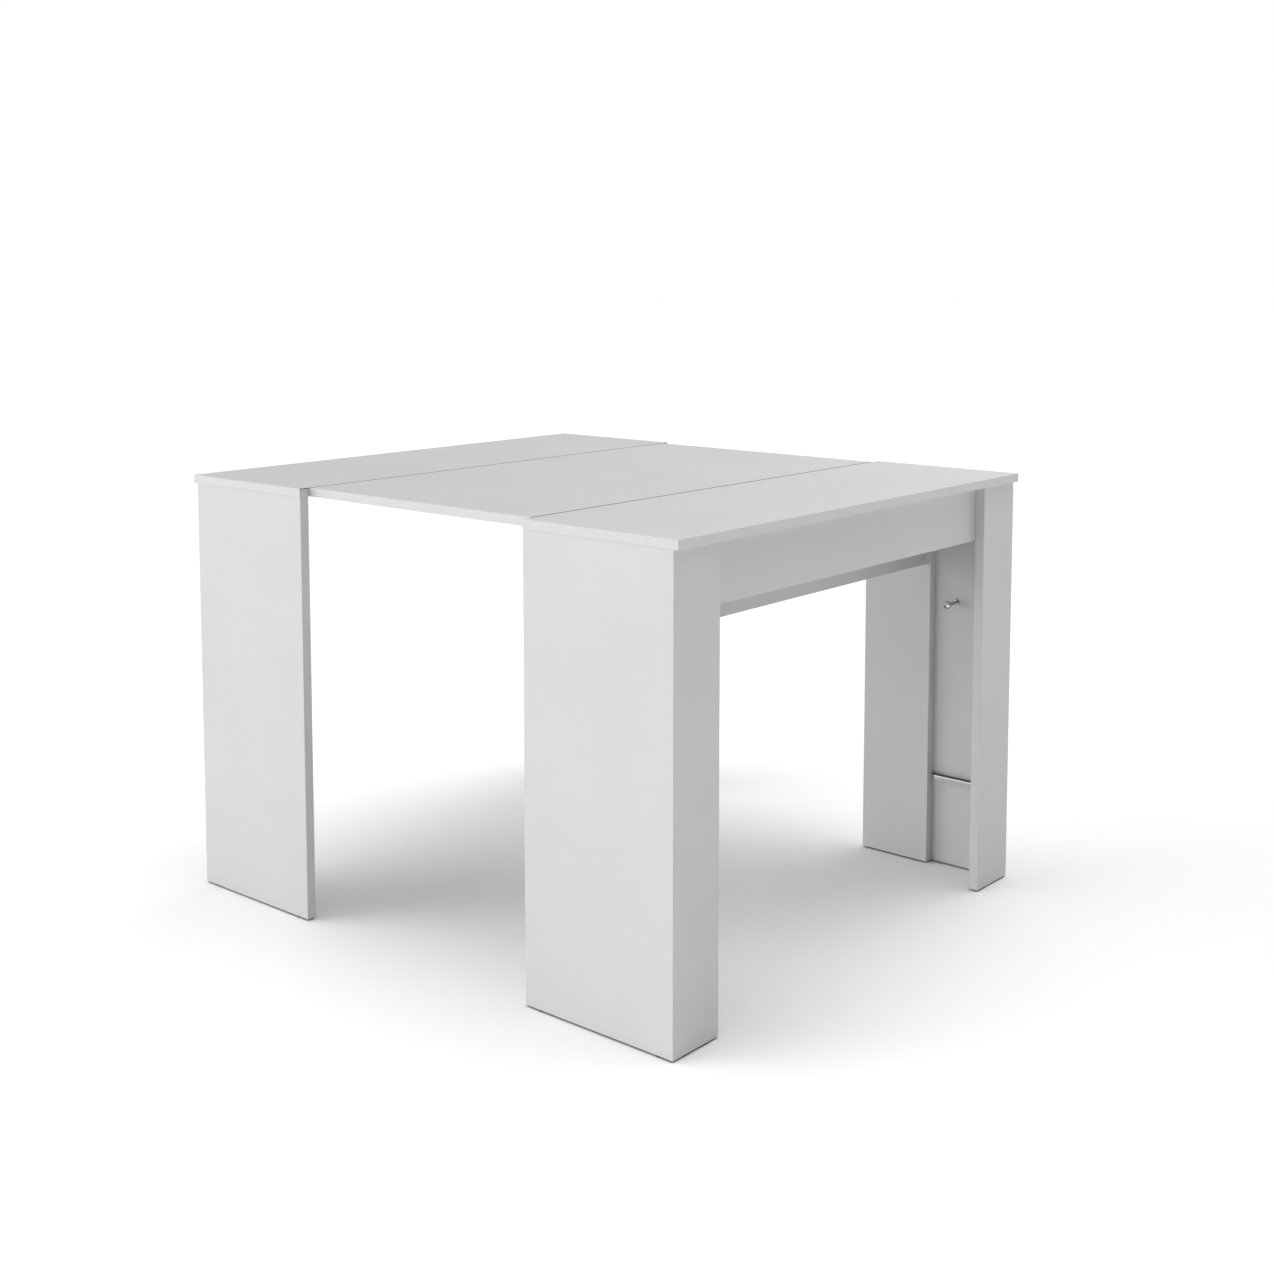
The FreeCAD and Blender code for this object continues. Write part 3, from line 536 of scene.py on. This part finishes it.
for node in ("storage_end_brackets", "sliding_end_brackets"):
    bm = bmesh.new()
    for low, high in solids(node):
        extent = high - low
        out = 0 if extent.x > extent.y else 1
        width = 1 - out
        wall = high[out] if low[out] > 0 else low[out]
        room = low[out] if low[out] > 0 else high[out]
        points = []
        for reach, height in ((room, high.z), (wall, high.z), (wall, low.z)):
            point = Vector((0, 0, height))
            point[out] = reach
            point[width] = low[width]
            points.append(point)
        shift = Vector((0, 0, 0))
        shift[width] = extent[width]
        strip = swept_strip(points, shift)
        bent = {vert for edge in folds_of(strip) for vert in edge.verts}
        free = [vert for vert in strip.verts if vert not in bent]
        rounded(strip, free, BRACKET_CORNER, "VERTICES", 4)
        rounded(strip, folds_of(strip), BRACKET_BEND, "EDGES", 4)
        thickened(strip, BRACKET_SHEET)
        add(bm, strip)
    built(bm, node, zinc)

# ---- Rest rails ----------------------------------------------------------------------------------
# Folded from 1.5 mm zinc plated sheet: a flange screwed to the leg panel, a ledge for the stored leaves
# with its free corner cut off, and a short front lip. The ledge's top is coloured dark grey: painted
# shade.

RAIL_SHEET = 0.0015
RAIL_BEND = 0.0025
RAIL_LIP = 0.009
UPWARD = 0.7  # faces of the ledge whose normals have more than this along Z carry the painted shade

# Dark grey, painted shade: it stands in for the shadow and dark reflection along the top of the ledge.
ledge_shade = material_of("painted_ledge_shade", (0.11, 0.11, 0.11), 0.95)
ledge_shade_speckle = speckle(ledge_shade, 2500, detail=3.0)
tint(ledge_shade, ledge_shade_speckle, (0.09, 0.09, 0.09), (0.14, 0.14, 0.14))
emboss(ledge_shade, ledge_shade_speckle, 0.0003)

for side, inward in (("front", 1), ("rear", -1)):
    low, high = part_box(f"{side}_leaf_rest_rail")
    wall = low.y if inward > 0 else high.y
    room = high.y if inward > 0 else low.y
    profile = ((wall, low.z), (wall, high.z), (room, high.z), (room, high.z - RAIL_LIP))
    points = [(low.x, y, z) for y, z in profile]
    strip = swept_strip(points, Vector((high.x - low.x, 0, 0)))
    rounded(strip, folds_of(strip), RAIL_BEND, "EDGES", 5)
    bmesh.ops.bisect_plane(
        strip,
        geom=strip.verts[:] + strip.edges[:] + strip.faces[:],
        dist=SAME_POINT,
        plane_co=(low.x, wall + inward * RAIL_SHEET, 0),
        plane_no=(-1, inward, 0),
        clear_outer=True,
    )
    thickened(strip, RAIL_SHEET)
    for face in strip.faces:
        if face.normal.z > UPWARD and face.calc_center_median().z > high.z - RAIL_SHEET:
            face.material_index = 1
    built(strip, f"{side}_leaf_rest_rail", zinc, ledge_shade)

# ---- Pegs ----------------------------------------------------------------------------------------
# Turned from bright steel and screwed into the outer panels, one on each side. They part the stored
# leaves.

PEG_FOOT_RADIUS = 0.006
PEG_FOOT_HEIGHT = 0.003
PEG_NECK_RADIUS = 0.0035
PEG_HEAD_RADIUS = 0.008
PEG_THREAD_RADIUS = 0.0025
PEG_THREAD = 0.011  # length of the thread in the leg panel

bright_steel = material_of("bright_steel", (0.45, 0.45, 0.46), 0.2, 1.0)
tint(bright_steel, speckle(bright_steel, 120), (0.42, 0.42, 0.43), (0.48, 0.48, 0.49))
vary(bright_steel, speckle(bright_steel, 900), "Roughness", 0.16, 0.26)

for side, inward in (("front", 1), ("rear", -1)):
    low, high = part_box(f"{side}_leaf_peg")
    length = high.y - low.y
    neck = PEG_THREAD + PEG_FOOT_HEIGHT
    outline = [(0, 0), (0.002, 0), (PEG_THREAD_RADIUS, 0.001), (PEG_THREAD_RADIUS, PEG_THREAD)]
    outline += [(PEG_FOOT_RADIUS, PEG_THREAD), (PEG_FOOT_RADIUS, neck - 0.0005)]
    outline += [(PEG_FOOT_RADIUS - 0.0005, neck), (PEG_NECK_RADIUS, neck)]
    outline += [(PEG_NECK_RADIUS, length - 0.009), (0.0043, length - 0.0075), (0.0068, length - 0.005)]
    outline += [(PEG_HEAD_RADIUS - 0.0003, length - 0.0036), (PEG_HEAD_RADIUS, length - 0.003)]
    outline += [(PEG_HEAD_RADIUS, length - 0.0012), (PEG_HEAD_RADIUS - 0.0004, length - 0.0004)]
    outline += [(PEG_HEAD_RADIUS - 0.0012, length), (0.005, length - 0.0014), (0, length - 0.0018)]
    foot = Vector(((low.x + high.x) / 2, low.y if inward > 0 else high.y, (low.z + high.z) / 2))
    bm = bmesh.new()
    stand(bm, turned(outline, 48), foot, (0, inward, 0))
    built(bm, f"{side}_leaf_peg", bright_steel)

# ---- Glides --------------------------------------------------------------------------------------
# Black nailed glides under the legs, which leave a thin dark gap above the floor.

black_plastic = material_of("black_plastic", (0.03, 0.03, 0.03), 0.45)
tint(black_plastic, speckle(black_plastic, 80), (0.025, 0.025, 0.025), (0.04, 0.04, 0.04))
vary(black_plastic, speckle(black_plastic, 500), "Roughness", 0.38, 0.55)

GLIDE_RADIUS = 0.0075
GLIDE_HEIGHT = 0.003
NAIL_RADIUS = 0.0011

for node in ("storage_end_glides", "sliding_end_glides"):
    bm = bmesh.new()
    for low, high in solids(node):
        outline = [(0, 0), (GLIDE_RADIUS - 0.0014, 0), (GLIDE_RADIUS - 0.0004, 0.0005)]
        outline += [(GLIDE_RADIUS, 0.0014), (GLIDE_RADIUS, GLIDE_HEIGHT), (NAIL_RADIUS, GLIDE_HEIGHT)]
        outline += [(NAIL_RADIUS, high.z - 0.002), (0, high.z)]
        middle = (low + high) / 2
        stand(bm, turned(outline, 32), Vector((middle.x, middle.y, low.z)), (0, 0, 1))
    built(bm, node, black_plastic)

# ---- Dowels --------------------------------------------------------------------------------------
# Fluted beech dowels with chamfered ends, glued into the ends of the boards.

DOWEL_RADIUS = 0.004
FLUTES = 18
FLUTE_DEPTH = 0.06  # as a share of the radius
DOWEL_CHAMFER = 0.001

beech = material_of("beech", (0.55, 0.38, 0.22), 0.6)
tint(beech, speckle(beech, 260, stretch=(1, 1, 0.12), detail=4.0), (0.47, 0.31, 0.17), (0.62, 0.44, 0.27))
emboss(beech, speckle(beech, 900, stretch=(1, 1, 0.1)), 0.00003)


def fluted_dowel(length):
    """A dowel that stands on the origin, made by raising one fluted ring."""
    part = bmesh.new()
    ring = bmesh.ops.create_circle(part, cap_ends=True, radius=DOWEL_RADIUS, segments=2 * FLUTES)["verts"]
    bmesh.ops.scale(part, vec=(1 - FLUTE_DEPTH, 1 - FLUTE_DEPTH, 1), verts=ring[::2])
    end_share = 1 - DOWEL_CHAMFER / DOWEL_RADIUS
    bmesh.ops.scale(part, vec=(end_share, end_share, 1), verts=part.verts)
    face = part.faces[:]
    for rise, share in (
        (DOWEL_CHAMFER, 1 / end_share),
        (length - 2 * DOWEL_CHAMFER, 1),
        (DOWEL_CHAMFER, end_share),
    ):
        raised = bmesh.ops.extrude_face_region(part, geom=face)["geom"]
        verts = [item for item in raised if isinstance(item, bmesh.types.BMVert)]
        face = [item for item in raised if isinstance(item, bmesh.types.BMFace)]
        bmesh.ops.translate(part, vec=(0, 0, rise), verts=verts)
        bmesh.ops.scale(part, vec=(share, share, 1), verts=verts)
    bmesh.ops.remove_doubles(part, verts=part.verts, dist=SAME_POINT)
    bmesh.ops.recalc_face_normals(part, faces=part.faces)
    return part


for node in ("storage_end_dowels", "sliding_end_dowels"):
    bm = bmesh.new()
    for low, high in solids(node):
        foot, axis, length = driven(low, high)
        stand(bm, fluted_dowel(length), foot, axis)
    built(bm, node, beech)

# ---- Cam fittings --------------------------------------------------------------------------------
# Steel bolts in the upright boards and die cast cams in apron and stretcher pull the joints tight.
# A white plastic cap is pressed over each cam.

COVER_RADIUS = 0.0085
COVER_HEIGHT = 0.0008

bolts = frame["nodes"]["cam_bolts"]
bolts.data.materials.clear()
bolts.data.materials.append(zinc)

bm = bmesh.new()
for low, high in solids("cam_discs"):
    middle = (low + high) / 2
    radius = (high.y - low.y) / 2
    depth = high.x - low.x
    outline = [(0, 0), (COVER_RADIUS - 0.0006, 0), (COVER_RADIUS, COVER_HEIGHT * 0.6)]
    outline += [(COVER_RADIUS, COVER_HEIGHT), (radius, COVER_HEIGHT), (radius, depth), (0, depth)]
    stand(bm, turned(outline, 32), Vector((low.x - COVER_HEIGHT, middle.y, middle.z)), (1, 0, 0))
built(bm, "cam_discs", edge_band)

# ---- Floor and light -----------------------------------------------------------------------------
# A plain white floor under five very wide, soft lights: two strong ones overhead and at the front left,
# a weaker one behind the table, and two faint ones that open the shaded end.

FLOOR_SIZE = 80
OVERHEAD = (0, 90, 4.18, 10)  # bearing from the front, height, both in degrees, strength, tightness
FRONT_LEFT = (-45, 12, 4.89, 8)
BEHIND = (180, 12, 1.87, 8)
REAR_RIGHT = (135, 45, 0.86, 10)
RIGHT = (90, 45, 0.11, 10)

bm = bmesh.new()
bmesh.ops.create_grid(bm, x_segments=1, y_segments=1, size=FLOOR_SIZE / 2)
mesh = bpy.data.meshes.new("floor")
bm.to_mesh(mesh)
bm.free()
floor = bpy.data.objects.new("floor", mesh)
bpy.context.scene.collection.objects.link(floor)
mesh.materials.append(material_of("pale_floor", (0.95, 0.95, 0.95), 0.9))

world = bpy.data.worlds.new("studio")
bpy.context.scene.world = world
world.use_nodes = True
nodes, links = world.node_tree.nodes, world.node_tree.links


def calculated(operation, first, second):
    """A number worked out from two others."""
    node = nodes.new("ShaderNodeMath")
    node.operation = operation
    links.new(first, node.inputs[0])
    if isinstance(second, (int, float)):
        node.inputs[1].default_value = second
    else:
        links.new(second, node.inputs[1])
    return node.outputs["Value"]


direction = nodes.new("ShaderNodeTexCoord").outputs["Generated"]
total = None
for bearing, height, strength, tightness in (OVERHEAD, FRONT_LEFT, BEHIND, REAR_RIGHT, RIGHT):
    bearing, height = math.radians(bearing), math.radians(height)
    facing = nodes.new("ShaderNodeVectorMath")
    facing.operation = "DOT_PRODUCT"
    facing.inputs[1].default_value = (
        math.sin(bearing) * math.cos(height),
        -math.cos(bearing) * math.cos(height),
        math.sin(height),
    )
    links.new(direction, facing.inputs[0])
    in_front = calculated("MAXIMUM", facing.outputs["Value"], 0)
    glow = calculated("MULTIPLY", calculated("POWER", in_front, tightness), strength)
    total = calculated("ADD", total, glow) if total else glow

sky = nodes["Background"]
sky.inputs["Color"].default_value = (1, 1, 1, 1)
links.new(total, sky.inputs["Strength"])
paper = nodes.new("ShaderNodeBackground")
paper.inputs["Color"].default_value = (1, 1, 1, 1)
ray = nodes.new("ShaderNodeLightPath")
seen = nodes.new("ShaderNodeMixShader")
links.new(ray.outputs["Is Camera Ray"], seen.inputs["Fac"])
links.new(sky.outputs["Background"], seen.inputs[1])
links.new(paper.outputs["Background"], seen.inputs[2])
links.new(seen.outputs["Shader"], nodes["World Output"].inputs["Surface"])
bpy.context.scene.view_settings.view_transform = "Standard"

# ---- Camera --------------------------------------------------------------------------------------
# At standing height in front of the storage end's corner, tilted down a little.

CAMERA_PLACE = (2.0701, -2.3505, 1.1599)
CAMERA_HEADING = 40.375
CAMERA_TILT = 5.301
LENS_LENGTH = 48.313  # in millimetres
LENS_SHIFT = -0.17

lens = bpy.data.cameras.new("camera")
lens.lens = LENS_LENGTH
lens.shift_y = LENS_SHIFT
camera = bpy.data.objects.new("camera", lens)
bpy.context.scene.collection.objects.link(camera)
camera.location = CAMERA_PLACE
camera.rotation_euler = (math.radians(90 - CAMERA_TILT), 0, math.radians(CAMERA_HEADING))
bpy.context.scene.camera = camera
